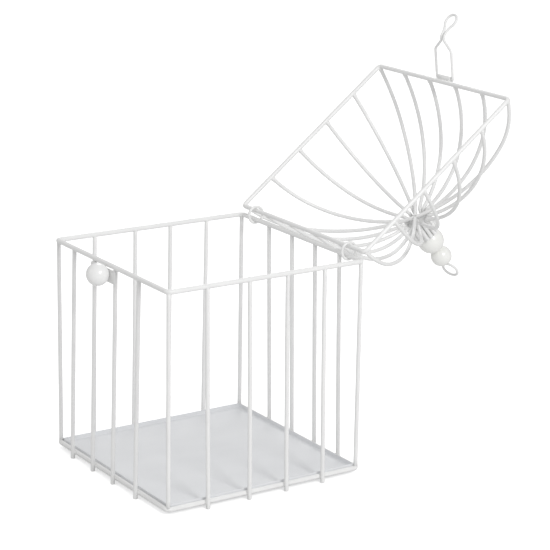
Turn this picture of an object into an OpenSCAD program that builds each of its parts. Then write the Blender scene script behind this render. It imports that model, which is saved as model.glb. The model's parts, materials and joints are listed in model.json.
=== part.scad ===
// Wire birdcage card box: a square wire cage with a sheet floor, a domed wire lid on two
// rings, a beaded finial, and a sprung wire clasp that drops over a round knob.
// It is drawn with the lid thrown back on its rings. The resting plane is z = 0.

/* [Part] */
// which sub-part to draw, or all of them

/* [Cage] */
// outside width and depth over the cage's rails
cage_size = 200; // [150:5:300]
// height from the resting plane to the top of the upper rail
cage_height = 198; // [140:2:300]
// thickness of the wire in the two cage rails
rail_wire = 4.4; // [3:0.2:6]
// thickness of the upright wires
bar_wire = 3.8; // [2.4:0.2:5.2]
// radius of the rails' rounded corners, at the wire's centre
corner_radius = 4; // [3.6:0.2:12]
// how far the uprights stand out below the lower rail
foot = 3; // [1:0.5:8]
// depth that one wire beds into another where they are welded
weld = 0.25; // [0.1:0.05:0.5]

/* [Floor] */
// thickness of the sheet floor
sheet = 0.8; // [0.5:0.1:2]
// height of the floor's turned-up lip
lip = 5; // [3:0.5:12]

/* [Lid] */
// thickness of the wire in the lid's frame
lid_wire = 4.2; // [3:0.2:6]
// thickness of the dome's wires
dome_wire = 3.6; // [2.4:0.2:4]
// height of the dome, from the middle of its frame to where the wires gather
dome_height = 85; // [50:1:130]
// slope of the middle wires where they leave the frame
dome_foot_slope = 79; // [65:1:86]
// slope of the middle wires half way round the dome
dome_side_slope = 50; // [35:1:60]
// slope of the middle wires where they reach the crown
dome_crown_slope = 7; // [2:1:20]

/* [Hinge] */
// how far the lid is turned back from closed
open_angle = 142; // [90:1:150]
// how far the hinge line lies behind the upper back rail
axis_back = 1.4; // [0.5:0.1:4]
// how far the hinge line lies above the upper back rail
axis_up = 5.9; // [4.8:0.1:9]
// thickness of the wire in the two hinge rings
ring_wire = 2.6; // [1.6:0.2:3.6]
// distance of each hinge ring from the middle, as a share of half the cage
ring_place = 0.77; // [0.68:0.01:0.84]
// free space between the hinge rings and the lid's frame
ring_play = 0.3; // [0.1:0.1:1.5]
// gap between the closed lid's frame and the upper rail
lid_gap = 0.1; // [0.05:0.05:1]

/* [Crown and finial] */
// distance from the lid's axis to the upright ends of the dome's wires
crown_radius = 12; // [11:0.5:20]
// height of the upright ends of the dome's wires
crown_stub = 16; // [8:1:24]
// wall of the tube that the dome's wires are welded round
crown_wall = 1.4; // [0.8:0.1:2.5]
// diameter of the large bead
bead_large_size = 25; // [16:1:40]
// diameter of the small bead
bead_small_size = 20; // [12:1:32]
// thickness of the finial's stem wire
stem_wire = 2.6; // [1.6:0.2:4]
// outside width of the eye at the top of the finial
eye_size = 18; // [12:1:26]
// turn of the eye about the finial
eye_turn = -15; // [-90:5:90]

/* [Clasp and knob] */
// diameter of the knob
knob_size = 20; // [14:1:26]
// how far the knob's centre lies below the upper rail's centre
knob_drop = 6.4; // [4:0.2:12]
// thickness of the clasp's wire
clasp_wire_size = 2.4; // [1.6:0.2:3]
// free space between the knob and each leg of the clasp
knob_play = 0.7; // [0.3:0.1:2]
// length of the clasp's legs before they close in
clasp_leg = 25; // [15:0.5:40]
// how far the clasp's free end is bent outward
clasp_bend = 42; // [10:1:65]
// outside width of the clasp's finger eye
clasp_eye = 16; // [12:1:24]
// how far the clasp is swung out from hanging
clasp_angle = 31; // [0:1:90]
// length of the barrel that the clasp turns in
barrel_length = 19.4; // [12:0.2:21]
// free space round the clasp's pins in the barrel
pin_play = 0.05; // [0.02:0.01:0.1]

/* [Hidden] */
$fn = 72;

white = [0.93, 0.93, 0.92];
pearl = [0.96, 0.95, 0.92];
steel = [0.72, 0.73, 0.74];
pale_grey = [0.87, 0.88, 0.89];

// every second piece of a bent wire is the inner one: it is finer by this step,
// and reaches this far into the pieces beside it
joint_step = 0.02;
joint_reach = 0.12;

// cage
side = cage_size - rail_wire;
half = side / 2;
pitch = side / 5;
tray_drop = 1.4;
z_low = foot + rail_wire / 2;
z_top = cage_height - rail_wire / 2;
corner_in = corner_radius * (1 - sqrt(0.5));
// the uprights pass outside the lower rail and butt under the upper one
splay = (rail_wire + bar_wire) / 2 - weld;
lean = atan(splay / (z_top - z_low));
bar_length = (z_top + bar_wire) / cos(lean);
// the uprights were set by hand: how far each one stands from even spacing, along its side
bar_shift = [
    [-6, -7.5, -10, -9],
    [-1.5, 1, 0, -1],
    [-3.5, -4.5, -6.5, -7.5],
    [0, 0, -2, 1],
];
function bar_x(k, i) = (i - 2.5) * pitch + bar_shift[k][i - 1];

// hinge: distances are from the centre of the upper back rail
closed_up = (rail_wire + lid_wire) / 2 + lid_gap;
axis_reach = norm([axis_back, axis_up]);
orbit = norm([axis_back, axis_up - closed_up]);
ring_inner = (axis_reach + orbit + (lid_wire + rail_wire) / 2 + ring_play - weld) / 2;
ring_centre = (ring_inner - rail_wire / 2 + weld) / axis_reach;
ring_x = half * ring_place;

// dome: radius of the bend that turns a wire up at the crown, and how far the corner
// wires lie below the others there
crown_bend = 4.5;
corner_sink = 1.2;
// a middle wire's slope a, on a wire that starts k times farther from the axis
function slope(a, k) = atan(tan(a) / k);
// distance from the axis at which a wire of slope a starts its bend at the crown
function elbow_start(a) = crown_radius + crown_bend * (1 - sin(a));
// the two radii that carry a wire from (r0, 0) to (r1, h) with slopes a, b and c
function arc_radii(r0, r1, h, a, b, c) =
    let (m11 = sin(a) - sin(b), m12 = sin(b) - sin(c))
    let (m21 = cos(b) - cos(a), m22 = cos(c) - cos(b))
    let (det = m11 * m22 - m12 * m21)
    [((r0 - r1) * m22 - h * m12) / det, (h * m11 - (r0 - r1) * m21) / det];

// crown and finial, as heights above the middle of the lid's frame
stub_top = dome_height + crown_bend * cos(dome_crown_slope) + crown_stub;
tube_outer = crown_radius - dome_wire / 2 + weld;
tube_inner = tube_outer - crown_wall;
tube_low = dome_height + crown_bend;
stem_low = dome_height - corner_sink + dome_wire / 2 - weld;
tube_high = stub_top + 1.5;
plate_thick = 1.6;
seat = sqrt(pow(bead_large_size / 2, 2) - pow(tube_inner, 2));
bead_large_up = tube_high + seat;
bead_flat = 0.5;
thread_play = 0.04;
bead_small_up = bead_large_up + (bead_large_size + bead_small_size) / 2 - 2 * bead_flat;
eye_radius = (eye_size - stem_wire) / 2;
eye_up = bead_small_up + bead_small_size / 2 + eye_radius + stem_wire / 2 + thread_play;

// clasp and knob
strap_thick = 1;
strap_drop = rail_wire / 2 + 0.3;
strap_height = 12;
strap_front = half + bar_wire / 2 - weld + strap_thick;
seat_depth = 0.4;
knob_front = strap_front + knob_size / 2 - seat_depth;
stud_size = 3;
pin_turn = clasp_wire_size * 0.8;
barrel_outer = 2.75;
clasp_out = half + lid_wire / 2 + barrel_outer - weld;
leg_x = knob_size / 2 + knob_play + clasp_wire_size / 2;
bend_radius = 6;
neck = clasp_wire_size * 0.8;
neck_r = 4;
turn_r = 5;
turn = 48;
slant = (leg_x - neck - (turn_r + neck_r) * (1 - cos(turn))) / sin(turn);
neck_up = (turn_r + neck_r) * sin(turn) + slant * cos(turn);

// the middle of the whole open part, front to back, is put over the origin
eye_reach = eye_radius * norm([sin(open_angle), cos(open_angle) * sin(eye_turn)]);
far_back = half + axis_back + eye_reach + stem_wire / 2
    + (half + axis_back) * -cos(open_angle)
    + (closed_up - axis_up + eye_up) * sin(open_angle);
middle = (far_back - knob_front - knob_size / 2) / 2;

// an arc of wire in the x-z plane, centred at c = [x, z], from angle a to angle b
module arc(c, r, a, b, wire, inner = false) {
    more = inner ? joint_reach / r * 180 / PI : 0;
    translate([c[0], 0, c[1]])
        rotate([90, 0, 0])
            rotate([0, 0, a - more])
                rotate_extrude(angle = b - a + 2 * more)
                    translate([r, 0])
                        circle(d = inner ? wire - joint_step : wire);
}

// a straight wire from p to q, which lie in the x-z plane
module rod(p, q, wire) {
    d = q - p;
    translate(p)
        rotate([0, atan2(d[0], d[2]), 0])
            cylinder(h = norm(d), d = wire);
}

// a square wire ring with rounded corners, lying level
module square_rail(wire) {
    flat = half - corner_radius;
    for (k = [0:3])
        rotate([0, 0, 90 * k]) {
            translate([-flat, -half, 0])
                rotate([0, 90, 0])
                    cylinder(h = 2 * flat, d = wire);
            translate([flat, -flat, 0])
                corner_arc(wire);
        }
}

module corner_arc(wire) {
    rotate([0, 0, -90])
        rotate_extrude(angle = 90)
            translate([corner_radius, 0])
                circle(d = wire);
}

// the front run of a rail, used to cut other wires to its surface
module rail_cut(wire) {
    translate([-half, -half, 0])
        rotate([0, 90, 0])
            cylinder(h = side, d = wire);
}

// a square sheet with rounded corners
module slab(width, radius, thick) {
    translate([-width / 2 + radius, -width / 2, 0])
        cube([width - 2 * radius, width, thick]);
    translate([-width / 2, -width / 2 + radius, 0])
        cube([width, width - 2 * radius, thick]);
    for (x = [-1, 1], y = [-1, 1])
        translate([x * (width / 2 - radius), y * (width / 2 - radius), 0])
            cylinder(h = thick, r = radius);
}

module in_place() {
    translate([0, -middle, 0])
        children();
}

// moves what is drawn on the closed lid, from the middle of its frame, to the open pose
module on_lid() {
    in_place()
        translate([0, half + axis_back, z_top + axis_up])
            rotate([-open_angle, 0, 0])
                translate([0, -half - axis_back, closed_up - axis_up])
                    children();
}

// turns what is drawn on the front to side k: front, right, back, left
module on_side(k) {
    rotate([0, 0, 90 * k])
        children();
}

module floor_tray() {
    width = side - rail_wire;
    radius = corner_radius - rail_wire / 2;
    color(pale_grey)
        in_place()
            translate([0, 0, z_low - tray_drop])
                difference() {
                    slab(width, radius, lip);
                    translate([0, 0, sheet])
                        slab(width - 2 * sheet, radius - sheet, lip);
                }
}

module bottom_rail() {
    color(white)
        in_place()
            translate([0, 0, z_low])
                square_rail(rail_wire);
}

module top_rail() {
    color(white)
        in_place()
            translate([0, 0, z_top])
                square_rail(rail_wire);
}

// a corner upright, between the two rails
module post(k) {
    flat = half - corner_radius;
    color(white)
        in_place()
            on_side(k)
                difference() {
                    translate([half - corner_in, -half + corner_in, z_low])
                        cylinder(h = z_top - z_low, d = bar_wire);
                    for (z = [z_low, z_top])
                        translate([flat, -flat, z])
                            corner_arc(rail_wire);
                }
}

// upright i of side k, drawn on the front, before it is cut to the rails
module bar_blank(k, i) {
    translate([bar_x(k, i), -half, z_top])
        rotate([-lean, 0, 0])
            translate([0, 0, -bar_length])
                cylinder(h = bar_length, d = bar_wire);
}

module cage_bar(k, i) {
    color(white)
        in_place()
            on_side(k)
                difference() {
                    bar_blank(k, i);
                    for (z = [z_low, z_top])
                        translate([0, 0, z])
                            rail_cut(rail_wire);
                    translate([bar_x(k, i) - pitch, -2 * half, -20])
                        cube([2 * pitch, 2 * half, 20]);
                }
}

// a strap welded across the two middle front wires
module knob_strap() {
    from = bar_x(0, 2) - bar_wire / 2 - 1;
    to = bar_x(0, 3) + bar_wire / 2 + 1;
    color(white)
        in_place()
            difference() {
                translate([from, -strap_front, z_top - strap_drop - strap_height])
                    cube([to - from, strap_thick, strap_height]);
                bar_blank(0, 2);
                bar_blank(0, 3);
                translate([0, 0, z_top - knob_drop])
                    rotate([90, 0, 0])
                        cylinder(h = side, d = stud_size);
            }
}

module knob_stud() {
    color(steel)
        in_place()
            translate([0, 0, z_top - knob_drop])
                rotate([90, 0, 0]) {
                    translate([0, 0, strap_front - strap_thick - 1.2])
                        cylinder(h = 1.2, d = 2 * stud_size);
                    translate([0, 0, strap_front - strap_thick - 0.6])
                        cylinder(h = strap_thick + 0.6 + knob_size * 0.6, d = stud_size);
                }
}

module knob_ball() {
    color(pearl)
        in_place()
            translate([0, -knob_front, z_top - knob_drop])
                rotate([90, 0, 0])
                    difference() {
                        sphere(d = knob_size);
                        translate([-knob_size, -knob_size, seat_depth - knob_size * 1.5])
                            cube([2 * knob_size, 2 * knob_size, knob_size]);
                        translate([0, 0, -knob_size])
                            cylinder(h = knob_size * 1.1 + seat_depth, d = stud_size);
                    }
}

// a ring welded to the upper back rail, loose round the lid's frame
module hinge_ring(s) {
    color(white)
        in_place()
            difference() {
                translate([s * ring_x, half + axis_back * ring_centre, z_top + axis_up * ring_centre])
                    rotate([0, 90, 0])
                        rotate_extrude()
                            translate([ring_inner + ring_wire / 2, 0])
                                circle(d = ring_wire);
                translate([0, 0, z_top])
                    on_side(2)
                        rail_cut(rail_wire);
            }
}

module lid_rail() {
    color(white)
        on_lid()
            square_rail(lid_wire);
}

// a dome wire in the x-z plane, from the frame at radius r0 to radius r1 at height h
module dome_wire_arcs(r0, r1, h, a, b, c) {
    r = arc_radii(r0, r1, h, a, b, c);
    c1 = [r0 - r[0] * sin(a), -r[0] * cos(a)];
    c2 = c1 + (r[0] - r[1]) * [sin(b), cos(b)];
    arc(c1, r[0], 90 - a, 90 - b, dome_wire, inner = true);
    arc(c2, r[1], 90 - b, 90 - c, dome_wire);
}

// one of the four wires on side k; its upper end turns up beside the crown tube
module dome_bar(k, i) {
    x = (i - 2.5) * pitch;
    r0 = norm([x, half]);
    stretch = r0 / half;
    a = slope(dome_foot_slope, stretch);
    b = slope(dome_side_slope, stretch);
    c = slope(dome_crown_slope, stretch);
    r1 = elbow_start(c);
    turn = [crown_radius + crown_bend, dome_height + crown_bend * cos(c)];
    color(white)
        on_lid()
            on_side(k)
                difference() {
                    rotate([0, 0, atan2(-half, x)]) {
                        dome_wire_arcs(r0, r1, dome_height, a, b, c);
                        arc(turn, crown_bend, 180, 270 - c, dome_wire, inner = true);
                        translate([crown_radius, 0, turn[1]])
                            cylinder(h = stub_top - turn[1], d = dome_wire);
                    }
                    rail_cut(lid_wire);
                    translate([0, 0, tube_low])
                        cylinder(h = tube_high - tube_low, r = tube_outer);
                }
}

// a corner wire runs to the lid's axis, under the foot of the stem; two of the four
// meet there end to end, and the other two butt against them
module dome_corner(k) {
    flat = half - corner_radius;
    r0 = sqrt(2) * (half - corner_in);
    stretch = sqrt(2);
    a = slope(dome_foot_slope, stretch);
    b = slope(dome_side_slope, stretch);
    across = k % 2 == 0 ? 0 : dome_wire / 2 + joint_step;
    color(white)
        on_lid()
            difference() {
                on_side(k)
                    difference() {
                        rotate([0, 0, -45])
                            dome_wire_arcs(r0, 0, dome_height - corner_sink, a, b, 0);
                        translate([flat, -flat, 0])
                            corner_arc(lid_wire);
                    }
                translate([0, 0, stem_low])
                    cylinder(h = dome_wire, d = stem_wire);
                if (across > 0)
                    rotate([0, 0, -45])
                        translate([-20, 0, dome_height - corner_sink])
                            rotate([0, 90, 0])
                                cylinder(h = 40, r = across);
            }
}

// the tube that the wires gather round, open below, with a plate in it
module crown_tube() {
    color(white)
        on_lid()
            translate([0, 0, tube_low])
                difference() {
                    cylinder(h = tube_high - tube_low, r = tube_outer);
                    translate([0, 0, plate_thick])
                        cylinder(h = tube_high, r = tube_inner);
                    translate([0, 0, -1])
                        cylinder(h = 4, r = tube_inner);
                }
}

module crown_plate() {
    color(white)
        on_lid()
            translate([0, 0, tube_low])
                difference() {
                    cylinder(h = plate_thick, r = tube_inner);
                    translate([0, 0, -1])
                        cylinder(h = plate_thick + 2, d = stem_wire);
                }
}

// the wire that threads the crown plate and both beads and ends in an eye
module finial_stem() {
    stem_top = eye_up - eye_radius;
    color(white)
        on_lid() {
            translate([0, 0, stem_low])
                cylinder(h = stem_top - stem_low, d = stem_wire);
            translate([0, 0, eye_up])
                rotate([90, 0, eye_turn])
                    rotate_extrude()
                        translate([eye_radius, 0])
                            circle(d = stem_wire);
        }
}

module bead(size, up, flat_low, flat_high) {
    color(pearl)
        on_lid()
            translate([0, 0, up])
                difference() {
                    sphere(d = size);
                    cylinder(h = 2 * size, d = stem_wire + 2 * thread_play, center = true);
                    if (flat_low)
                        translate([-size, -size, -size * 1.5 + bead_flat])
                            cube([2 * size, 2 * size, size]);
                    if (flat_high)
                        translate([-size, -size, size / 2 - bead_flat])
                            cube([2 * size, 2 * size, size]);
                }
}

module bead_large() {
    bead(bead_large_size, bead_large_up, false, true);
}

module bead_small() {
    bead(bead_small_size, bead_small_up, true, false);
}

// on the closed lid, at the barrel's centre
module at_barrel() {
    on_lid()
        translate([0, -clasp_out, 0])
            children();
}

// the tube on the lid's frame that the clasp's pins turn in
module clasp_barrel() {
    color(white)
        on_lid()
            difference() {
                translate([-barrel_length / 2, -clasp_out, 0])
                    rotate([0, 90, 0])
                        difference() {
                            cylinder(h = barrel_length, r = barrel_outer);
                            translate([0, 0, -1])
                                cylinder(h = barrel_length + 2, d = clasp_wire_size + 2 * pin_play);
                        }
                rail_cut(lid_wire);
            }
}

// where the two legs close in to the neck, drawn up the z axis from the ends of the legs
module clasp_neck() {
    p = [leg_x - turn_r * (1 - cos(turn)), 0, turn_r * sin(turn)];
    q = p + slant * [-sin(turn), 0, cos(turn)];
    for (s = [0, 1])
        mirror([s, 0, 0]) {
            arc([leg_x - turn_r, 0], turn_r, 0, turn, clasp_wire_size, inner = true);
            rod(p, q, clasp_wire_size);
            arc([neck + neck_r, neck_up], neck_r, 180, 180 + turn, clasp_wire_size, inner = true);
        }
}

// the finger eye, drawn up the z axis from the end of the neck
module clasp_loop() {
    eye_r = (clasp_eye - clasp_wire_size) / 2;
    throat_r = 15;
    lift = sqrt(pow(throat_r + eye_r, 2) - pow(neck + throat_r, 2));
    join = acos((neck + throat_r) / (throat_r + eye_r));
    for (s = [0, 1])
        mirror([s, 0, 0])
            arc([neck + throat_r, 0], throat_r, 180 - join, 180, clasp_wire_size, inner = true);
    arc([0, lift], eye_r, -join, 180 + join, clasp_wire_size);
}

// the clasp, hanging from the barrel's axis
module clasp_hanging() {
    pin = 6;
    neck_low = clasp_leg + neck_up;
    for (s = [0, 1])
        mirror([s, 0, 0]) {
            translate([leg_x - pin_turn - pin, 0, 0])
                rotate([0, 90, 0])
                    cylinder(h = pin, d = clasp_wire_size);
            arc([leg_x - pin_turn, -pin_turn], pin_turn, 0, 90, clasp_wire_size, inner = true);
            translate([leg_x, 0, -clasp_leg])
                cylinder(h = clasp_leg - pin_turn, d = clasp_wire_size);
            translate([neck, -bend_radius, -neck_low])
                rotate([0, 0, 90])
                    arc([0, 0], bend_radius, -clasp_bend, 0, clasp_wire_size);
        }
    translate([0, 0, -clasp_leg])
        rotate([180, 0, 0])
            clasp_neck();
    translate([0, -bend_radius * (1 - cos(clasp_bend)), -neck_low - bend_radius * sin(clasp_bend)])
        rotate([180 - clasp_bend, 0, 0])
            clasp_loop();
}

module clasp_wire() {
    color(white)
        at_barrel()
            rotate([-clasp_angle, 0, 0])
                clasp_hanging();
}

floor_tray();
bottom_rail();
top_rail();
post(0);  // post_front_right
post(1);  // post_back_right
post(2);  // post_back_left
post(3);  // post_front_left
cage_bar(0, 1);  // front_bar_1
cage_bar(0, 2);  // front_bar_2
cage_bar(0, 3);  // front_bar_3
cage_bar(0, 4);  // front_bar_4
cage_bar(1, 1);  // right_bar_1
cage_bar(1, 2);  // right_bar_2
cage_bar(1, 3);  // right_bar_3
cage_bar(1, 4);  // right_bar_4
cage_bar(2, 1);  // back_bar_1
cage_bar(2, 2);  // back_bar_2
cage_bar(2, 3);  // back_bar_3
cage_bar(2, 4);  // back_bar_4
cage_bar(3, 1);  // left_bar_1
cage_bar(3, 2);  // left_bar_2
cage_bar(3, 3);  // left_bar_3
cage_bar(3, 4);  // left_bar_4
knob_strap();
knob_stud();
knob_ball();
hinge_ring(-1);  // hinge_ring_left
hinge_ring(1);  // hinge_ring_right
lid_rail();
dome_corner(0);  // dome_corner_front_right
dome_corner(1);  // dome_corner_back_right
dome_corner(2);  // dome_corner_back_left
dome_corner(3);  // dome_corner_front_left
dome_bar(0, 1);  // dome_front_1
dome_bar(0, 2);  // dome_front_2
dome_bar(0, 3);  // dome_front_3
dome_bar(0, 4);  // dome_front_4
dome_bar(1, 1);  // dome_right_1
dome_bar(1, 2);  // dome_right_2
dome_bar(1, 3);  // dome_right_3
dome_bar(1, 4);  // dome_right_4
dome_bar(2, 1);  // dome_back_1
dome_bar(2, 2);  // dome_back_2
dome_bar(2, 3);  // dome_back_3
dome_bar(2, 4);  // dome_back_4
dome_bar(3, 1);  // dome_left_1
dome_bar(3, 2);  // dome_left_2
dome_bar(3, 3);  // dome_left_3
dome_bar(3, 4);  // dome_left_4
crown_tube();
crown_plate();
finial_stem();
bead_large();
bead_small();
clasp_barrel();
clasp_wire();
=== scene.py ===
import json
import bpy
import numpy as np
from mathutils import Matrix, Vector


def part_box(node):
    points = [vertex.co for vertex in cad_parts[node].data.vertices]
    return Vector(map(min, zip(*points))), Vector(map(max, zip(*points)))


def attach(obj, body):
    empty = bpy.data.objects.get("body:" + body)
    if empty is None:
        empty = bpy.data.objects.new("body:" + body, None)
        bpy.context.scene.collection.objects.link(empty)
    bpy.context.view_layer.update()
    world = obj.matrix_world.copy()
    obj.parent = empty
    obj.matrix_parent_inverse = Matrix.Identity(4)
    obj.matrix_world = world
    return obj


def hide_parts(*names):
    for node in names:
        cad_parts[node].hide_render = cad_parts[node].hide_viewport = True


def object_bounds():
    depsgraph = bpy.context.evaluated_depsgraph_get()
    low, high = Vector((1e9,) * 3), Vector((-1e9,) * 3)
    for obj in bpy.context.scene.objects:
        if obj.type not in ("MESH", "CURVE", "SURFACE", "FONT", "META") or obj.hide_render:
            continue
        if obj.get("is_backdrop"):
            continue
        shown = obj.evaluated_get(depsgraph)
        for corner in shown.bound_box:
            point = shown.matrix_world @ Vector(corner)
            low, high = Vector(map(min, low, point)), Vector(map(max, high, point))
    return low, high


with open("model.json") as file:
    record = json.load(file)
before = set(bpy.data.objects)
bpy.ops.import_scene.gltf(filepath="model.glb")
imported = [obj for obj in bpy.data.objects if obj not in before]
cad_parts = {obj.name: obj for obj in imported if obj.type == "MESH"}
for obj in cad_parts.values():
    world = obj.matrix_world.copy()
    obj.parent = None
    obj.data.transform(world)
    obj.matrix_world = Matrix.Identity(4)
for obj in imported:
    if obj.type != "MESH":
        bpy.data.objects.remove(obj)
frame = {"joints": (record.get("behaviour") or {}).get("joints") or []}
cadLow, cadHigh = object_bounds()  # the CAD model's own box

mm = 0.001
rng = np.random.default_rng(11)
joints = {j["name"]: j for j in frame["joints"]}


def middleOf(node):
    low, high = (np.array(v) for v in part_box(node))
    return (low + high) / 2, high - low


# where the cage and the lid stand, from the CAD nodes and the lid's joint
railMiddle, railSize = middleOf("top_rail")
lidMiddle = middleOf("lid_rail")[0]
lidTilt = np.radians(joints["lid_hinge"]["range_deg"][1])  # from closed to thrown back


def unit(v):
    return v / np.linalg.norm(v, axis=-1, keepdims=True)


def turnX(p, a):
    # turns points about the x axis by the angle a
    x, y, z = p[..., 0], p[..., 1], p[..., 2]
    return np.stack([x, y * np.cos(a) - z * np.sin(a), y * np.sin(a) + z * np.cos(a)], -1)


def turnZ(p, a):
    # turns points about the z axis by the angle a
    x, y, z = p[..., 0], p[..., 1], p[..., 2]
    return np.stack([x * np.cos(a) - y * np.sin(a), x * np.sin(a) + y * np.cos(a), z], -1)


def onCage(p):
    # from millimetres about the cage's axis, z up from the table, to the shared frame
    return np.asarray(p, float) * mm + np.array([0, railMiddle[1], 0])


def onLid(p):
    # from millimetres about the middle of the closed lid's frame to the open lid
    return turnX(np.asarray(p, float) * mm, -lidTilt) + lidMiddle


def asIs(p):
    return np.asarray(p, float) * mm


# mesh makers: whole arrays in, one closed mesh out
def gridFaces(rows, cols, start=0, loop=False):
    # quads of a grid whose columns close on themselves, and its rows too if loop is set
    i = np.arange(rows if loop else rows - 1)[:, None]
    j = np.arange(cols)[None, :]
    a, b = i * cols + j, i * cols + (j + 1) % cols
    c, d = ((i + 1) % rows) * cols + (j + 1) % cols, ((i + 1) % rows) * cols + j
    return np.stack([a, b, c, d], -1).reshape(-1, 4) + start


class Shell:
    # gathers the closed parts of one piece

    def __init__(self):
        self.points, self.faces, self.count = [], [], 0

    def add(self, rings, loop=False):
        rows, cols = rings.shape[:2]
        self.points.append(rings.reshape(-1, 3))
        self.faces += gridFaces(rows, cols, self.count, loop).tolist()
        if not loop:
            self.faces.append(list(range(self.count + cols - 1, self.count - 1, -1)))
            last = self.count + (rows - 1) * cols
            self.faces.append(list(range(last, last + cols)))
        self.count += rows * cols

    def build(self, name, material, body, slot, *nodes, sharp=None):
        mesh = bpy.data.meshes.new(name)
        mesh.from_pydata(np.concatenate(self.points).tolist(), [], self.faces)
        mesh.polygons.foreach_set("use_smooth", [True] * len(mesh.polygons))
        mesh.update()
        if sharp:
            mesh.set_sharp_from_angle(angle=np.radians(sharp))
        piece = bpy.data.objects.new(name, mesh)
        bpy.context.scene.collection.objects.link(piece)
        mesh.materials.append(material)
        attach(piece, body)
        if nodes:
            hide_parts(*nodes)


def tube(path, across, radius, sides=14, loop=False):
    # a round wire: at each point of the path a circle stands square to the path, drawn
    # from the direction across and from the one square to it and to the path
    path = np.asarray(path, float)
    if loop:
        along = unit(np.roll(path, -1, 0) - np.roll(path, 1, 0))
    else:
        along = unit(np.gradient(path, axis=0))
    across = np.broadcast_to(across, path.shape)
    side = unit(across - (across * along).sum(-1, keepdims=True) * along)
    other = np.cross(along, side)
    a = np.linspace(0, 2 * np.pi, sides, endpoint=False)[None, :, None]
    radius = np.broadcast_to(radius, len(path))[:, None, None]
    return path[:, None] + radius * (np.cos(a) * side[:, None] + np.sin(a) * other[:, None])


softSteps = 4  # circles that round off each end of a wire


def softEnds(path, radius, edge, first=True):
    # rounds the edge of a path's last end, and of its first: the circle shrinks by
    # edge * (1 - cos) while it moves on by edge * sin
    radius = np.broadcast_to(radius, len(path)).astype(float)
    q = np.linspace(0, np.pi / 2, softSteps + 1)[1:]
    way = unit(path[-1] - path[-2])
    end = path[-1] - way * edge * (1 - np.sin(q))[:, None]
    path = np.concatenate([path[:-1], path[-1:] - way * edge, end])
    radius = np.concatenate([radius, radius[-1] - edge * (1 - np.cos(q))])
    if first:
        way = unit(path[0] - path[1])
        start = path[0] - way * edge * (1 - np.sin(q[::-1]))[:, None]
        radius = np.concatenate([radius[0] - edge * (1 - np.cos(q[::-1])), radius])
        path = np.concatenate([start, path[:1] - way * edge, path[1:]])
    return path, radius


def turned(profile, sides=48):
    # a closed outline of (radius, height) pairs carried round the z axis
    profile = np.asarray(profile, float)
    a = np.linspace(0, 2 * np.pi, sides, endpoint=False)[None, :]
    r, z = profile[:, :1], profile[:, 1:]
    return np.stack([r * np.cos(a), r * np.sin(a), z + 0 * a], -1)


def lump(middle, size, rows=7, cols=10):
    # a weld's blob: an egg whose radius swells and dips by a few per cent round it
    u = np.linspace(0.12, np.pi - 0.12, rows)[:, None]
    v = np.linspace(0, 2 * np.pi, cols, endpoint=False)[None, :]
    broad = 0.07 * np.sin(2 * v + rng.uniform(0, 6)) * np.sin(u)
    swell = 1 + broad + 0.05 * np.cos(3 * v + rng.uniform(0, 6))
    p = np.stack([swell * np.sin(u) * np.cos(v), swell * np.sin(u) * np.sin(v), -np.cos(u) + 0 * v], -1)
    return p * np.asarray(size, float) + np.asarray(middle, float)


def bulge(distance, high, reach):
    # what a weld or a join adds to a wire's radius: a bell curve in the distance from it
    return high * np.exp(-(distance / reach) ** 2)


def squareLine(half, radius, perSide=8, perCorner=9):
    # a square with round corners, walked once round from the right of the front
    a = np.linspace(-np.pi / 2, 0, perCorner)
    corner = np.stack([half - radius + radius * np.cos(a), -half + radius + radius * np.sin(a)], -1)
    t = np.linspace(0, 1, perSide + 2)[1:-1, None]
    upright = corner[-1] * (1 - t) + np.array([half, half - radius]) * t
    quarter = np.concatenate([corner, upright])
    return np.concatenate([turnZ(np.c_[quarter, 0 * quarter[:, 0]], k * np.pi / 2) for k in range(4)])


sideNames = ["front", "right", "back", "left"]
allWires = [(side, i) for side in range(4) for i in range(1, 5)]  # four on each of the four sides
print("frame read: open lid at", round(float(np.degrees(lidTilt)), 1), "degrees")


# shared effects
def nodeGroup(name, inputs, outputs):
    group = bpy.data.node_groups.new(name, "ShaderNodeTree")
    for label, kind, value in inputs:
        group.interface.new_socket(label, in_out="INPUT", socket_type=kind).default_value = value
    for label, kind in outputs:
        group.interface.new_socket(label, in_out="OUTPUT", socket_type=kind)
    return group, group.nodes.new("NodeGroupInput"), group.nodes.new("NodeGroupOutput")


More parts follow.
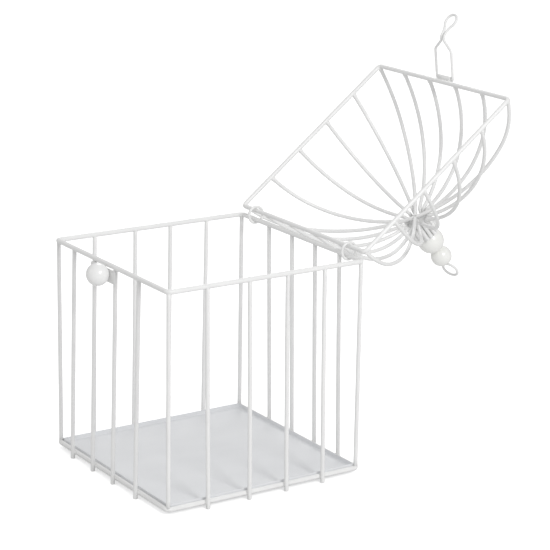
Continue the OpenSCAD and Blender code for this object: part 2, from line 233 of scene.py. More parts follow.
def makeCoatGroup():
    # baked powder: a fine orange peel, slow thin and thick patches, and a few pin specks
    group, given, out = nodeGroup(
        "powderSkin",
        [("Vector", "NodeSocketVector", (0, 0, 0)), ("Light", "NodeSocketColor", (0.9, 0.9, 0.9, 1)),
         ("Thin", "NodeSocketColor", (0.8, 0.8, 0.8, 1)), ("Rough", "NodeSocketFloat", 0.4),
         ("Peel", "NodeSocketFloat", 900.0), ("Patch", "NodeSocketFloat", 60.0)],
        [("Color", "NodeSocketColor"), ("Roughness", "NodeSocketFloat"), ("Height", "NodeSocketFloat")])
    add, link = group.nodes.new, group.links.new
    peel = add("ShaderNodeTexNoise")
    peel.inputs["Detail"].default_value = 2.0
    link(given.outputs["Vector"], peel.inputs["Vector"])
    link(given.outputs["Peel"], peel.inputs["Scale"])
    patch = add("ShaderNodeTexNoise")
    patch.inputs["Detail"].default_value = 4.0
    link(given.outputs["Vector"], patch.inputs["Vector"])
    link(given.outputs["Patch"], patch.inputs["Scale"])
    spots = add("ShaderNodeTexVoronoi")
    spots.inputs["Scale"].default_value = 130.0
    link(given.outputs["Vector"], spots.inputs["Vector"])
    pin = add("ShaderNodeMapRange")
    pin.inputs["From Min"].default_value, pin.inputs["From Max"].default_value = 0.05, 0.09
    pin.inputs["To Min"].default_value, pin.inputs["To Max"].default_value = 0.35, 0.0
    link(spots.outputs["Distance"], pin.inputs["Value"])
    share = add("ShaderNodeMapRange")
    share.inputs["From Min"].default_value, share.inputs["From Max"].default_value = 0.35, 0.75
    share.inputs["To Max"].default_value = 0.55
    link(patch.outputs["Fac"], share.inputs["Value"])
    total = add("ShaderNodeMath")
    total.operation = "MAXIMUM"
    link(share.outputs["Result"], total.inputs[0])
    link(pin.outputs["Result"], total.inputs[1])
    colour = add("ShaderNodeMix")
    colour.data_type = "RGBA"
    link(total.outputs["Value"], colour.inputs["Factor"])
    link(given.outputs["Light"], colour.inputs["A"])
    link(given.outputs["Thin"], colour.inputs["B"])
    link(colour.outputs["Result"], out.inputs["Color"])
    rough = add("ShaderNodeMath")
    rough.operation = "MULTIPLY_ADD"
    rough.inputs[1].default_value = 0.16
    link(patch.outputs["Fac"], rough.inputs[0])
    link(given.outputs["Rough"], rough.inputs[2])
    link(rough.outputs["Value"], out.inputs["Roughness"])
    link(peel.outputs["Fac"], out.inputs["Height"])
    return group


powderSkin = makeCoatGroup()


def newMaterial(name):
    material = bpy.data.materials.new(name)
    material.use_nodes = True
    tree = material.node_tree
    return material, tree, tree.nodes["Principled BSDF"]


def coated(name, light, thin, rough, peel=900.0, patch=60.0, depth=0.02, stretch=(1, 1, 1)):
    # a coated finish on the shared powder skin
    material, tree, shader = newMaterial(name)
    where = tree.nodes.new("ShaderNodeTexCoord")
    place = tree.nodes.new("ShaderNodeMapping")
    place.inputs["Scale"].default_value = stretch
    tree.links.new(where.outputs["Object"], place.inputs["Vector"])
    skin = tree.nodes.new("ShaderNodeGroup")
    skin.node_tree = powderSkin
    skin.inputs["Light"].default_value = (*light, 1)
    skin.inputs["Thin"].default_value = (*thin, 1)
    skin.inputs["Rough"].default_value = rough
    skin.inputs["Peel"].default_value = peel
    skin.inputs["Patch"].default_value = patch
    tree.links.new(place.outputs["Vector"], skin.inputs["Vector"])
    tree.links.new(skin.outputs["Color"], shader.inputs["Base Color"])
    tree.links.new(skin.outputs["Roughness"], shader.inputs["Roughness"])
    bump = tree.nodes.new("ShaderNodeBump")
    bump.inputs["Strength"].default_value = 0.5
    bump.inputs["Distance"].default_value = depth * mm
    tree.links.new(skin.outputs["Height"], bump.inputs["Height"])
    tree.links.new(bump.outputs["Normal"], shader.inputs["Normal"])
    return material, shader


def glossed(shader, weight, rough):
    # a clear coat over the finish
    shader.inputs["Coat Weight"].default_value = weight
    shader.inputs["Coat Roughness"].default_value = rough


whiteWire, shader = coated("whiteWire", (0.87, 0.87, 0.865), (0.80, 0.80, 0.80), 0.34, depth=0.05)
glossed(shader, 0.25, 0.25)
weldWhite = coated("weldWhite", (0.85, 0.85, 0.845), (0.74, 0.74, 0.735), 0.42,
                   peel=1400.0, patch=260.0, depth=0.12)[0]
floorCoat = coated("floorCoat", (0.775, 0.785, 0.80), (0.705, 0.715, 0.735), 0.36,
                   peel=1100.0, patch=22.0, depth=0.03, stretch=(1, 0.35, 1))[0]
beadWhite, shader = coated("beadWhite", (0.91, 0.91, 0.885), (0.85, 0.85, 0.82), 0.22,
                           peel=420.0, patch=150.0, depth=0.05)
glossed(shader, 0.6, 0.12)
knobWhite, shader = coated("knobWhite", (0.90, 0.90, 0.895), (0.84, 0.84, 0.835), 0.2,
                           peel=420.0, patch=150.0, depth=0.05)
glossed(shader, 0.6, 0.12)
zincPlate, shader = coated("zincPlate", (0.42, 0.43, 0.44), (0.30, 0.31, 0.32), 0.3,
                           peel=700.0, patch=300.0, depth=0.03)
shader.inputs["Metallic"].default_value = 1.0
print("finishes made")

# the cage: two square rails, uprights and corner posts
cage = {"railWire": 4.4, "barWire": 3.8, "cornerRadius": 4.0, "bed": 0.25, "bow": 0.35,
        "barSwell": 0.55, "postSwell": 0.5, "swellReach": 1.6, "footEdge": 0.45,
        "seamAt": 12, "seamSwell": 0.08, "seamReach": 2.2, "weldShift": 1.5, "weld": (1.2, 0.95, 1.7)}
half = railSize[0] / 2 / mm - cage["railWire"] / 2
pitch = 2 * half / 5
topUp = railMiddle[2] / mm
lowUp = middleOf("bottom_rail")[0][2] / mm
splay = (cage["railWire"] + cage["barWire"]) / 2 - cage["bed"]
outward = splay / (topUp - lowUp)  # how far an upright moves out for each unit down


def railRing(height, wire, place, seam):
    # the rail's closed line, a little thicker where the wire's two ends were joined
    line = squareLine(half, cage["cornerRadius"], perSide=40)
    line[:, 2] = height
    gap = np.linalg.norm(line - np.array(seam), axis=1)
    radius = wire / 2 + bulge(gap, cage["seamSwell"], cage["seamReach"])
    upward = place(np.array([0, 0, 1000.0])) - place(np.zeros(3))
    return tube(place(line), upward, radius * mm, 16, loop=True)


for name, height in (("bottom_rail", lowUp), ("top_rail", topUp)):
    rail = Shell()
    seam = (cage["seamAt"], half, height)
    rail.add(railRing(height, cage["railWire"], onCage, seam), loop=True)
    rail.build(name + "Wire", whiteWire, "cage", "wire_paint", name)


def uprightLine(x0, bow):
    # a front upright: a straight line that leans out towards its foot, with a slight bow
    t = np.linspace(0, 1, 26)
    z = topUp * (1 - t)
    x = x0 + bow * np.sin(np.pi * t)
    y = -half - outward * (topUp - z)
    return np.stack([x, y, z], -1)


def placeAlong(side, i):
    # how far an upright stands along its own side, read from its CAD node
    middle = middleOf(f"{sideNames[side]}_bar_{i}")[0]
    return turnZ((middle - [0, railMiddle[1], 0]) / mm, -side * np.pi / 2)[0]


uprights = {(side, i): placeAlong(side, i) for side, i in allWires}
for side, i in allWires:
    line = uprightLine(uprights[side, i], cage["bow"] * rng.uniform(-1, 1))
    fromTop = topUp - line[:, 2]
    swell = bulge(fromTop - cage["railWire"] / 2, cage["barSwell"], cage["swellReach"])
    line, radius = softEnds(line, cage["barWire"] / 2 + swell, cage["footEdge"], first=False)
    turn, name = side * np.pi / 2, sideNames[side]
    bar = Shell()
    bar.add(tube(onCage(turnZ(line, turn)), turnZ(np.array([1.0, 0, 0]), turn), radius * mm))
    bar.build(f"{name}Bar{i}", whiteWire, "cage", "wire_paint", f"{name}_bar_{i}")

cornerIn = cage["cornerRadius"] * (1 - np.sqrt(0.5))
postNames = ["post_front_right", "post_back_right", "post_back_left", "post_front_left"]
for k, name in enumerate(postNames):
    z = np.linspace(lowUp, topUp, 24)
    fromEnd = np.minimum(z - lowUp, topUp - z) - cage["railWire"] / 2
    radius = cage["barWire"] / 2 + bulge(fromEnd, cage["postSwell"], cage["swellReach"])
    line = np.stack([half - cornerIn + 0 * z, -half + cornerIn + 0 * z, z], -1)
    post = Shell()
    post.add(tube(onCage(turnZ(line, k * np.pi / 2)), np.array([1.0, 0, 0]), radius * mm))
    post.build(name + "Wire", whiteWire, "cage", "wire_paint", name)

welds = Shell()
for side, i in allWires:
    x = uprights[side, i]
    out = -half - cage["railWire"] / 2 + 0.2
    # both sides of the upright where it passes the lower rail
    for shift in (-cage["weldShift"], cage["weldShift"]):
        blob = lump((x + shift, out, lowUp), cage["weld"])
        welds.add(onCage(turnZ(blob, side * np.pi / 2)))
welds.build("cageWelds", weldWhite, "cage", "wire_paint")
print("cage made")

# the sheet floor with its turned-up lip
tray = {"sheet": 0.8, "lip": 5.0, "ripple": 0.35}
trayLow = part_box("floor_tray")[0][2] / mm
trayHalf = half - cage["railWire"] / 2
trayCorner = cage["cornerRadius"] - cage["railWire"] / 2


def trayRow(inset, up, wavy):
    # one closed line of the tray's outline at a given inset and height; the flat part ripples
    width = trayHalf - inset
    line = squareLine(width, min(max(trayCorner - inset, 0.4), width * 0.9), perSide=22, perCorner=7)
    x, y = line[:, 0], line[:, 1]
    ripple = np.sin(x / 31 + 0.6) * np.cos(y / 43 - 0.4) + 0.4 * np.sin((x + y) / 19)
    fade = max(0.0, 1 - (width / trayHalf) ** 6)
    line[:, 2] = trayLow + up + wavy * tray["ripple"] * ripple * fade
    return line


s, lip = tray["sheet"], tray["lip"]
inner = np.concatenate([np.linspace(6, trayHalf - 3, 26), [trayHalf - 0.6]])
rows = [trayRow(v, 0, 1) for v in inner[::-1]]
# out under the sheet, up the lip, over its rounded edge and down inside, as (inset, height)
turnUp = [(1.2, 0), (0.35, 0.1), (0.03, 0.5), (0, 1.2),
          (0, lip - 0.35), (0.12, lip - 0.1), (s / 2, lip), (s - 0.12, lip - 0.1),
          (s, lip - 0.35), (s, s + 1.1), (s + 0.3, s + 0.35), (s + 1.0, s)]
rows += [trayRow(inset, up, 0) for inset, up in turnUp]
rows += [trayRow(v, s, 1) for v in inner]
floorTray = Shell()
floorTray.add(onCage(np.array(rows)))
floorTray.build("floorTray", floorCoat, "cage", "floor_paint", "floor_tray", sharp=50)

# the knob, its strap and its stud
knob = {"size": 20.0, "seatAngle": 158, "strapThick": 1.0, "strapCorner": 2.5, "stud": 3.0,
        "weldSpread": 4.2, "weld": (2.3, 0.7, 1.5)}
ballLow, ballHigh = (np.array(v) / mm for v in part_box("knob_ball"))
knobUp = (ballLow[2] + ballHigh[2]) / 2
ballMiddle = np.array([0, ballLow[1] - railMiddle[1] / mm + knob["size"] / 2, knobUp])


def pointForward(p):
    # from an axis along z to one along -y
    return np.stack([p[..., 0], -p[..., 2], p[..., 1]], -1)


a = np.linspace(np.radians(knob["seatAngle"]), 0.02, 30)
r = knob["size"] / 2
ballLine = np.stack([r * np.sin(a), r * np.cos(a)], -1)
edge, back = ballLine[0]
seat = np.array([[edge * 0.55, back - 0.25], [edge * 0.93, back - 0.22]])
ball = Shell()
ball.add(onCage(pointForward(turned(np.concatenate([seat, ballLine]), 40)) + ballMiddle))
ball.build("knobBall", knobWhite, "cage", "knob_gloss", "knob_ball")

strapLow, strapHigh = (np.array(v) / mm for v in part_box("knob_strap"))
strapMiddle, strapHalf = (strapLow + strapHigh) / 2, (strapHigh - strapLow) / 2


def strapRow(inset, depth):
    # a rounded oblong in the x-z plane, set in by inset, at a given depth
    a = np.linspace(0, np.pi / 2, 6)
    r = knob["strapCorner"]
    across, up = strapHalf[0] - r + (r - inset) * np.cos(a), strapHalf[2] - r + (r - inset) * np.sin(a)
    quarter = np.stack([across, up], -1)
    flip = quarter[::-1]
    line = np.concatenate([quarter, flip * [-1, 1], -quarter, flip * [1, -1]])
    return np.stack([line[:, 0] + strapMiddle[0], depth + 0 * line[:, 0], line[:, 1] + strapMiddle[2]], -1)


front, back = strapLow[1], strapLow[1] + knob["strapThick"]
strap = Shell()
strap.add(asIs(np.array([strapRow(0.3, front), strapRow(0.08, front + 0.1), strapRow(0, front + 0.3),
                         strapRow(0, back - 0.3), strapRow(0.08, back - 0.1), strapRow(0.3, back)])))
for i in (2, 3):  # a run of weld down the strap on each of the two uprights that carry it
    for z in np.linspace(-knob["weldSpread"], knob["weldSpread"], 3):
        strap.add(asIs(lump((uprights[0, i], back + 0.1, strapMiddle[2] + z), knob["weld"])))
strap.build("knobStrap", weldWhite, "cage", "wire_paint", "knob_strap", sharp=50)

headLow, headHigh = (np.array(v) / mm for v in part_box("knob_stud"))
headBack, studFront = headHigh[1], headLow[1]
r = knob["stud"]
studLong = headBack - studFront
outline = [(0.05, 0), (r * 0.6, 0.1), (r * 0.88, 0.35), (r, 0.75), (r, 1.1), (r * 0.94, 1.2), (r / 2, 1.2),
           (r / 2, studLong - 0.2), (0.05, studLong - 0.1)]
studMiddle = np.array([0, headBack, (headLow[2] + headHigh[2]) / 2])
stud = Shell()
stud.add(asIs(pointForward(turned(outline, 28)) + studMiddle))
stud.build("knobStud", zincPlate, "cage", "fixing_steel", "knob_stud", sharp=50)
print("floor and knob made")

# hinge rings, each a loop of wire with its ends welded to the back rail
rings = {"wire": 2.6, "weldAt": -2.05, "weldSwell": 0.25, "weldReach": 0.22}  # round the ring in radians
for name, label in (("hinge_ring_left", "hingeRingLeft"), ("hinge_ring_right", "hingeRingRight")):
    middle, size = middleOf(name)
    r = size[2] / 2 - rings["wire"] / 2 * mm
    a = np.linspace(0, 2 * np.pi, 72, endpoint=False)
    line = np.stack([0 * a, r * np.cos(a), r * np.sin(a)], -1) + middle
    fromWeld = np.angle(np.exp(1j * (a - rings["weldAt"])))
    radius = rings["wire"] / 2 + bulge(fromWeld, rings["weldSwell"], rings["weldReach"])
    ring = Shell()
    ring.add(tube(line, np.array([1.0, 0, 0]), radius * mm, 14, loop=True))
    ring.build(label, whiteWire, "cage", "wire_paint", name)

# the lid: its square frame and the domed wires
lid = {"railWire": 4.2, "domeWire": 3.6, "height": 85.0, "footSlope": 79.0, "sideSlope": 50.0,
       "crownSlope": 7.0, "crownRadius": 12.0, "crownBend": 4.5, "stub": 16.0, "cornerSink": 1.2,
       "footSwell": 0.5, "swellReach": 1.7, "topEdge": 0.5, "seamAt": -14}
lidRail = Shell()
lidRail.add(railRing(0, lid["railWire"], onLid, (lid["seamAt"], half, 0)), loop=True)
lidRail.build("lidRailWire", whiteWire, "lid", "wire_paint", "lid_rail")


def slopeAt(a, stretch):
    return np.arctan(np.tan(np.radians(a)) / stretch)


def domeLine(r0, r1, high, a, b, c):
    # a wire's (radius, height) from the frame to the crown: two arcs that meet at slope b,
    # whose radii solve for the run r0 - r1 and the rise high
    turns = np.array([[np.sin(a) - np.sin(b), np.sin(b) - np.sin(c)],
                      [np.cos(b) - np.cos(a), np.cos(c) - np.cos(b)]])
    first, second = np.linalg.solve(turns, [r0 - r1, high])
    mid1 = np.array([r0 - first * np.sin(a), -first * np.cos(a)])
    mid2 = mid1 + (first - second) * np.array([np.sin(b), np.cos(b)])
    t1 = np.linspace(np.pi / 2 - a, np.pi / 2 - b, 26)[:-1]
    t2 = np.linspace(np.pi / 2 - b, np.pi / 2 - c, 34)
    return np.concatenate([mid1 + first * np.stack([np.cos(t1), np.sin(t1)], -1),
                           mid2 + second * np.stack([np.cos(t2), np.sin(t2)], -1)])


def swellAtFoot(line, wire):
    # the wire's radius, fuller where it is welded to the frame
    away = np.linalg.norm(line - line[0], axis=1)
    return wire / 2 + bulge(away - lid["railWire"] / 2, lid["footSwell"], lid["swellReach"])


def standUp(line, angle):
    # a (radius, height) line stood up in the upright plane at an angle about the lid's axis
    return np.stack([line[:, 0] * np.cos(angle), line[:, 0] * np.sin(angle), line[:, 1]], -1)


stubTop = lid["height"] + lid["crownBend"] * np.cos(np.radians(lid["crownSlope"])) + lid["stub"]
for side, i in allWires:
    x = (i - 2.5) * pitch
    r0 = np.hypot(x, half)
    stretch = r0 / half
    a, b, c = (slopeAt(lid[k], stretch) for k in ("footSlope", "sideSlope", "crownSlope"))
    bend = lid["crownBend"]
    main = domeLine(r0, lid["crownRadius"] + bend * (1 - np.sin(c)), lid["height"], a, b, c)
    t = np.linspace(3 * np.pi / 2 - c, np.pi, 12)[1:]
    hub = np.array([lid["crownRadius"] + bend, lid["height"] + bend * np.cos(c)])
    elbow = hub + bend * np.stack([np.cos(t), np.sin(t)], -1)
    up = np.stack([np.full(8, lid["crownRadius"]), np.linspace(hub[1] + 2, stubTop, 8)], -1)
    line = np.concatenate([main, elbow, up])
    angle = np.arctan2(-half, x) + side * np.pi / 2
    path = standUp(line, angle)
    path, radius = softEnds(path, swellAtFoot(path, lid["domeWire"]), lid["topEdge"], first=False)
    wire = Shell()
    across = turnX(np.array([-np.sin(angle), np.cos(angle), 0.0]), -lidTilt)
    wire.add(tube(onLid(path), across, radius * mm))
    name = sideNames[side]
    wire.build(f"dome{name.capitalize()}{i}", whiteWire, "lid", "wire_paint", f"dome_{name}_{i}")

cornerNames = ["dome_corner_front_right", "dome_corner_back_right",
               "dome_corner_back_left", "dome_corner_front_left"]
r0 = np.sqrt(2) * (half - cornerIn)
a, b = (slopeAt(lid[k], np.sqrt(2)) for k in ("footSlope", "sideSlope"))
for k, name in enumerate(cornerNames):
    line = domeLine(r0, 0.0, lid["height"] - lid["cornerSink"], a, b, 0.0)
    angle = -np.pi / 4 + k * np.pi / 2
    path = standUp(line, angle)
    wire = Shell()
    across = turnX(np.array([-np.sin(angle), np.cos(angle), 0.0]), -lidTilt)
    wire.add(tube(onLid(path), across, swellAtFoot(path, lid["domeWire"]) * mm))
    label = "".join(word.capitalize() if n else word for n, word in enumerate(name.split("_")))
    wire.build(label, whiteWire, "lid", "wire_paint", name)
print("lid wires made")

# crown, beads and the finial's eye
crown = {"wall": 1.4, "bed": 0.25, "plate": 1.6, "stem": 2.6, "bead": 25.0, "smallBead": 20.0,
         "flat": 0.5, "above": 1.5, "eye": 18.0, "eyeTurn": -15.0, "eyeGap": 0.16, "eyeEdge": 0.5}
tubeOuter = lid["crownRadius"] - lid["domeWire"] / 2 + crown["bed"]
tubeInner = tubeOuter - crown["wall"]
tubeLow, tubeHigh = lid["height"] + lid["crownBend"], stubTop + crown["above"]
outline = [(tubeInner, tubeLow + 0.3), (tubeInner + 0.3, tubeLow),
           (tubeOuter - 0.4, tubeLow), (tubeOuter, tubeLow + 0.4),
           (tubeOuter, tubeHigh - 0.5), (tubeOuter - 0.15, tubeHigh - 0.15), (tubeOuter - 0.5, tubeHigh),
           (tubeInner + 0.4, tubeHigh), (tubeInner + 0.1, tubeHigh - 0.1), (tubeInner, tubeHigh - 0.4)]
crownTube = Shell()
crownTube.add(onLid(turned(outline, 56)), loop=True)
crownTube.build("crownTube", whiteWire, "lid", "wire_paint", "crown_tube", sharp=50)

plateTop, stemHole = tubeLow + crown["plate"], crown["stem"] / 2
outline = [(stemHole, tubeLow), (tubeInner - 0.3, tubeLow), (tubeInner, tubeLow + 0.3),
           (tubeInner, plateTop - 0.3), (tubeInner - 0.3, plateTop), (stemHole, plateTop)]
plate = Shell()
plate.add(onLid(turned(outline, 56)), loop=True)
plate.build("crownPlate", whiteWire, "lid", "wire_paint", "crown_plate", sharp=50)


def beadLine(size, up, lowCut, highCut):
    # a ball drilled through: its outline runs up the outside, over a soft rim and down the hole
    r, hole = size / 2, crown["stem"] / 2
    top = np.arcsin((hole + 0.9) / r)
    a = np.linspace(np.pi - top, top, 40)
    out = np.stack([r * np.sin(a), np.clip(r * np.cos(a), -r + lowCut, r - highCut)], -1)
    high, low = out[-1, 1], out[0, 1]
    rim = [(hole + 0.35, high - 0.05), (hole, high - 0.45), (hole, low + 0.45), (hole + 0.35, low + 0.05)]
    return np.concatenate([out, rim]) + [0, up]


seatUp = np.sqrt((crown["bead"] / 2) ** 2 - tubeInner ** 2)
beadUp = tubeHigh + seatUp
smallUp = beadUp + (crown["bead"] + crown["smallBead"]) / 2 - 2 * crown["flat"]
beads = [("beadLarge", "bead_large", crown["bead"], beadUp, 0, crown["flat"]),
         ("beadSmall", "bead_small", crown["smallBead"], smallUp, crown["flat"], 0)]
for label, node, size, up, lowCut, highCut in beads:
    bead = Shell()
    bead.add(onLid(turned(beadLine(size, up, lowCut, highCut), 56)), loop=True)
    bead.build(label, beadWhite, "lid", "bead_gloss", node)

eyeRadius = (crown["eye"] - crown["stem"]) / 2
eyeUp = smallUp + crown["smallBead"] / 2 + eyeRadius + crown["stem"] / 2
stemLow = lid["height"] - lid["cornerSink"] + lid["domeWire"] / 2 - crown["bed"]
t = np.linspace(-np.pi / 2, 3 * np.pi / 2 - crown["eyeGap"], 84)
loopLine = np.stack([eyeRadius * np.cos(t), 0 * t, eyeUp + eyeRadius * np.sin(t)], -1)
z = np.linspace(stemLow, eyeUp - eyeRadius, 30)
stemLine = np.stack([0 * z, 0 * z, z], -1)
turn = np.radians(crown["eyeTurn"])
across = turnX(turnZ(np.array([0.0, 1, 0]), turn), -lidTilt)
stem = Shell()
stem.add(tube(onLid(stemLine), across, crown["stem"] / 2 * mm))
path, radius = softEnds(turnZ(loopLine, turn), np.full(len(t), crown["stem"] / 2), crown["eyeEdge"])
stem.add(tube(onLid(path), across, radius * mm))
stem.build("finialStem", whiteWire, "lid", "wire_paint", "finial_stem")

# the clasp: one bent wire, its pins in a short barrel on the lid's frame
clasp = {"wire": 2.4, "play": 0.05, "knobPlay": 0.7, "leg": 25.0, "bend": 42.0, "bendRadius": 6.0,
         "shoulderRadius": 5.0, "neckRadius": 4.0, "throatRadius": 15.0, "closeIn": 48.0, "pin": 6.0,
         "eye": 16.0, "swing": 31.0, "barrel": 19.4, "barrelOuter": 2.75,
         "endEdge": 0.3, "weld": (1.9, 0.9, 1.5)}
barrelOut = half + lid["railWire"] / 2 + clasp["barrelOuter"] - crown["bed"]
legX = knob["size"] / 2 + clasp["knobPlay"] + clasp["wire"] / 2
barrel = Shell()
o, i, h = clasp["barrelOuter"], clasp["wire"] / 2 + clasp["play"], clasp["barrel"] / 2
outline = [(i, -h + 0.2), (i + 0.2, -h), (o - 0.35, -h), (o - 0.1, -h + 0.1), (o, -h + 0.35),
           (o, h - 0.35), (o - 0.1, h - 0.1), (o - 0.35, h), (i + 0.2, h), (i, h - 0.2)]
lying = turned(outline, 28)
lying = np.stack([lying[..., 2], -lying[..., 1], lying[..., 0]], -1)  # its axis from z to x
barrel.add(onLid(lying + np.array([0, -barrelOut, 0]))[:, ::-1], loop=True)
for x in np.linspace(-h + 1.6, h - 1.6, 5):
    barrel.add(onLid(lump((x, -half - lid["railWire"] / 2 + 0.1, 0), clasp["weld"])))
barrel.build("claspBarrel", weldWhite, "lid", "wire_paint", "clasp_barrel", sharp=50)


def claspOutline():
    # half of the wire, flat: out of the barrel, down the leg, in along a slant to the neck
    # and round the eye; x across and s along the wire's length from the barrel
    turnR, neckR, throatR = (clasp[k] for k in ("shoulderRadius", "neckRadius", "throatRadius"))
    pinTurn = neck = clasp["wire"] * 0.8
    eyeR, flat, swing = (clasp["eye"] - clasp["wire"]) / 2, clasp["leg"], np.radians(clasp["closeIn"])
    run = (legX - neck - (turnR + neckR) * (1 - np.cos(swing))) / np.sin(swing)
    q = np.linspace(0, np.pi / 2, 9)
    pin = np.array([[legX - pinTurn - clasp["pin"], 0], [legX - pinTurn - clasp["pin"] / 2, 0]])
    corner = np.stack([legX - pinTurn + pinTurn * np.sin(q), pinTurn * (1 - np.cos(q))], -1)
    leg = np.stack([np.full(20, legX), np.linspace(pinTurn + 1, flat - 0.8, 20)], -1)
    q = np.linspace(0, swing, 9)
    shoulder = np.stack([legX - turnR * (1 - np.cos(q)), flat + turnR * np.sin(q)], -1)
    slantWay = np.array([-np.sin(swing), np.cos(swing)])
    slant = shoulder[-1] + np.linspace(0.2, 0.8, 4)[:, None] * run * slantWay
    neckLow = shoulder[-1, 1] + run * np.cos(swing) + neckR * np.sin(swing)
    q = np.linspace(np.pi + swing, np.pi, 9)
    closing = np.stack([neck + neckR + neckR * np.cos(q), neckLow + neckR * np.sin(q)], -1)
    neckHigh = neckLow + bendLength
    pair = np.stack([np.full(12, neck), np.linspace(neckLow, neckHigh, 14)[1:-1]], -1)
    join = np.arccos((neck + throatR) / (throatR + eyeR))
    q = np.linspace(np.pi, np.pi - join, 12)
    widening = np.stack([neck + throatR + throatR * np.cos(q), neckHigh + throatR * np.sin(q)], -1)
    lift = np.sqrt((throatR + eyeR) ** 2 - (neck + throatR) ** 2)
    q = np.linspace(-join, np.pi / 2, 30)[1:]
    eye = np.stack([eyeR * np.cos(q), neckHigh + lift + eyeR * np.sin(q)], -1)
    return np.concatenate([pin, corner, leg, shoulder, slant, closing, pair, widening, eye]), neckLow


bendLength = clasp["bendRadius"] * np.radians(clasp["bend"])
rightHalf, bendFrom = claspOutline()
flatWire = np.concatenate([rightHalf, (rightHalf * [-1, 1])[::-1][1:]])
bent = np.clip((flatWire[:, 1] - bendFrom) / clasp["bendRadius"], 0, np.radians(clasp["bend"]))
past = np.maximum(flatWire[:, 1] - bendFrom - bendLength, 0)
# the flat wire laid over a bend: down, round the bend's radius, then on along the slope
y = -clasp["bendRadius"] * (1 - np.cos(bent)) - past * np.sin(bent)
z = -(np.minimum(flatWire[:, 1], bendFrom) + clasp["bendRadius"] * np.sin(bent) + past * np.cos(bent))
swing = np.radians(clasp["swing"])
hanging = np.stack([flatWire[:, 0], y, z], -1)
facing = np.stack([0 * bent, -np.cos(bent), np.sin(bent)], -1)
swung = turnX(hanging, -swing) + np.array([0, -barrelOut, 0])
path, radius = softEnds(swung, np.full(len(swung), clasp["wire"] / 2), clasp["endEdge"])
ends = [facing[k:k + 1].repeat(softSteps + 1, 0) for k in (0, len(facing) - 1)]
facing = np.concatenate([ends[0], facing[1:-1], ends[1]])
wire = Shell()
wire.add(tube(onLid(path), turnX(turnX(facing, -swing), -lidTilt), radius * mm, 16))
wire.build("claspWire", whiteWire, "clasp", "wire_paint", "clasp_wire")
print("crown, finial and clasp made")

# floor, light and camera
studio = {"room": 0.58, "seenRoom": 1.05, "table": 18.0, "glow": 0.59, "key": 24, "fill": 3, "back": 8}


def makeStage():
    mesh = bpy.data.meshes.new("tableTop")
    w = studio["table"] / 2
    mesh.from_pydata([(-w, -w, 0), (w, -w, 0), (w, w, 0), (-w, w, 0)], [], [(0, 1, 2, 3)])
    table = bpy.data.objects.new("tableTop", mesh)
    bpy.context.scene.collection.objects.link(table)
    material, tree, shader = newMaterial("paleTable")
    shader.inputs["Base Color"].default_value = (0.80, 0.80, 0.80, 1)
    shader.inputs["Roughness"].default_value = 0.9
    shader.inputs["Emission Color"].default_value = (1, 1, 1, 1)
    path = tree.nodes.new("ShaderNodeLightPath")  # the glow is for the eye only and lights nothing
    glow = tree.nodes.new("ShaderNodeMath")
    glow.operation = "MULTIPLY"
    glow.inputs[1].default_value = studio["glow"]
    tree.links.new(path.outputs["Is Camera Ray"], glow.inputs[0])
    tree.links.new(glow.outputs["Value"], shader.inputs["Emission Strength"])
    mesh.materials.append(material)
    table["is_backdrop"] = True


makeStage()
world = bpy.data.worlds.new("paleRoom")
bpy.context.scene.world = world
world.use_nodes = True
tree = world.node_tree
path = tree.nodes.new("ShaderNodeLightPath")
shown = tree.nodes.new("ShaderNodeMapRange")  # pale to the eye, dimmer as a light
shown.inputs["To Min"].default_value = studio["room"]
shown.inputs["To Max"].default_value = studio["seenRoom"]
tree.links.new(path.outputs["Is Camera Ray"], shown.inputs["Value"])
tree.links.new(shown.outputs["Result"], tree.nodes["Background"].inputs["Strength"])
tree.nodes["Background"].inputs["Color"].default_value = (1, 1, 1, 1)


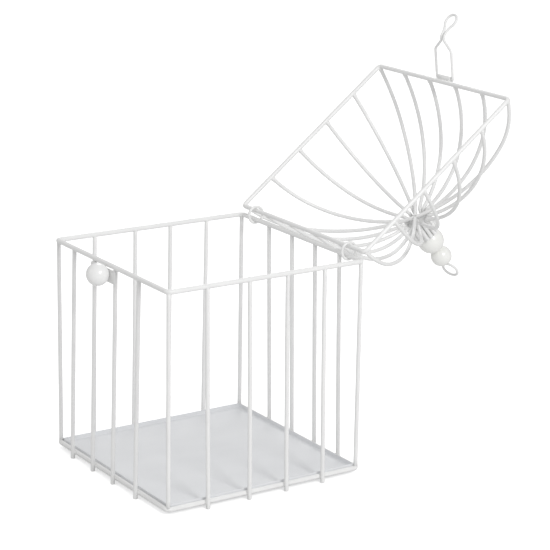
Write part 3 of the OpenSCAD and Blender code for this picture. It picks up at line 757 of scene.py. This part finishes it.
def softLight(name, place, aim, size, power):
    lamp = bpy.data.lights.new(name, "AREA")
    lamp.shape, lamp.size, lamp.energy = "DISK", size, power
    holder = bpy.data.objects.new(name, lamp)
    bpy.context.scene.collection.objects.link(holder)
    holder.location = place
    holder.rotation_euler = (Vector(aim) - Vector(place)).to_track_quat("-Z", "Y").to_euler()


softLight("keyLight", (2.1, -0.1, 1.5), (0, -0.05, 0.15), 0.7, studio["key"])
softLight("fillLight", (-0.9, -2.0, 1.2), (0, -0.05, 0.15), 1.4, studio["fill"])
softLight("backLight", (-1.5, 1.0, 1.7), (0, 0.05, 0.2), 1.0, studio["back"])

# angles in degrees, and distances as multiples of the cage's side
view = {"azimuth": 56.438, "elevation": 15.593, "roll": 0.962, "distance": 9.371,
        "across": 0.31, "up": 0.359, "lens": 134.502, "sensor": 36}
cageSide = 2 * half * mm
aimPoint = np.array([0, railMiddle[1], (lowUp + topUp) / 2 * mm])
az, el, roll = (np.radians(view[k]) for k in ("azimuth", "elevation", "roll"))
backward = np.array([np.sin(az) * np.cos(el), -np.cos(az) * np.cos(el), np.sin(el)])
right = unit(np.cross(-backward, [0, 0, 1.0]))
upward = np.cross(right, -backward)
rolledRight = np.cos(roll) * right + np.sin(roll) * upward
rolledUp = -np.sin(roll) * right + np.cos(roll) * upward
camera = bpy.data.objects.new("camera", bpy.data.cameras.new("camera"))
bpy.context.scene.collection.objects.link(camera)
bpy.context.scene.camera = camera
camera.data.lens, camera.data.sensor_width = view["lens"], view["sensor"]
camera.data.clip_start, camera.data.clip_end = 0.05, 60
offset = view["distance"] * backward + view["across"] * rolledRight + view["up"] * rolledUp
spot = aimPoint + cageSide * offset
aimed = Matrix(np.stack([rolledRight, rolledUp, backward], 1).tolist()).to_4x4()
camera.matrix_world = Matrix.Translation(Vector(spot)) @ aimed
bpy.context.scene.view_settings.view_transform = "Standard"
bpy.context.scene.view_settings.look = "None"

low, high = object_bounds()
grewLow = [round((c - l) / mm, 2) for c, l in zip(cadLow, low)]
grewHigh = [round((h - c) / mm, 2) for c, h in zip(cadHigh, high)]
print("box grew by (mm)", grewLow, grewHigh)
